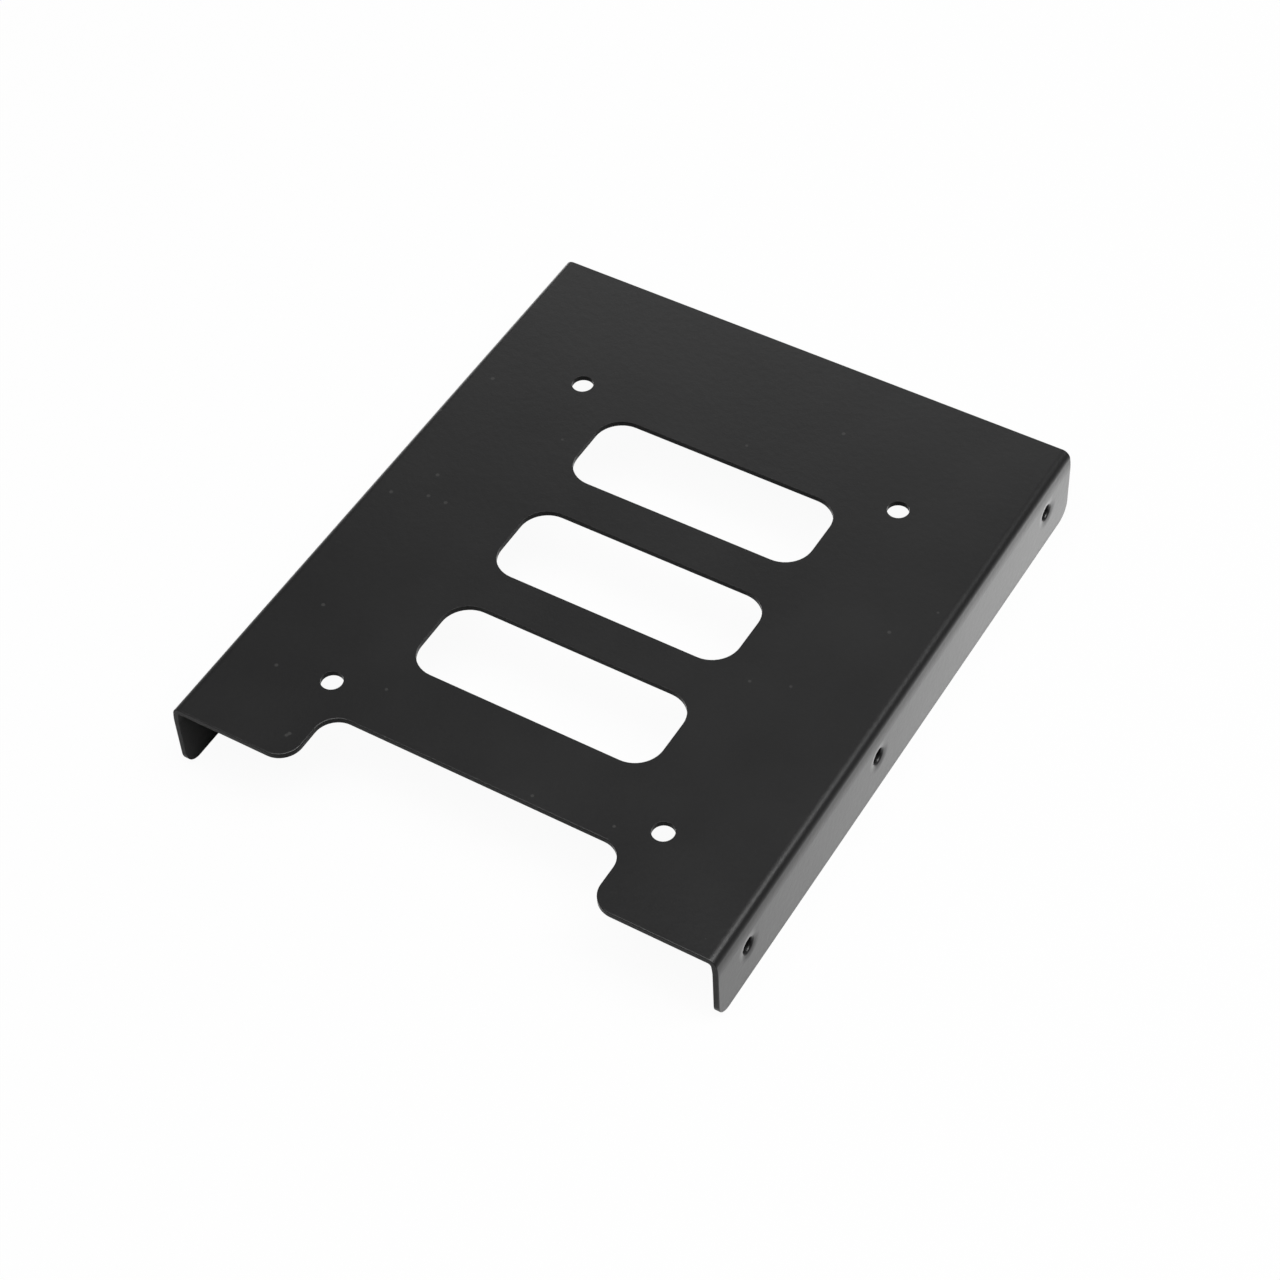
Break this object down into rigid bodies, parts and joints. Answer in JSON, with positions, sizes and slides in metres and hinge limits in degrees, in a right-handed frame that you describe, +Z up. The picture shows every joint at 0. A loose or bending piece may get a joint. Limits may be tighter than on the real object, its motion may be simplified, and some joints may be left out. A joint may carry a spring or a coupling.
{
  "type": "drive bay adapter bracket",
  "caption": "Folded sheet-metal bracket that carries a small drive in a larger drive bay: a slotted plate between side flanges with tapped holes.",
  "frame": {"origin": "under the bracket's centre, level with the flanges' lower edges", "axes": "+X towards the right flange, +Y from the notched end to the plain end, +Z up through the plate"},
  "size_m": [0.1006, 0.1194, 0.0148],
  "materials": {
    "black_paint": "satin black powder coat"
  },
  "bodies": {
    "root": {"bracket": "black_paint"}
  },
  "joints": []
}
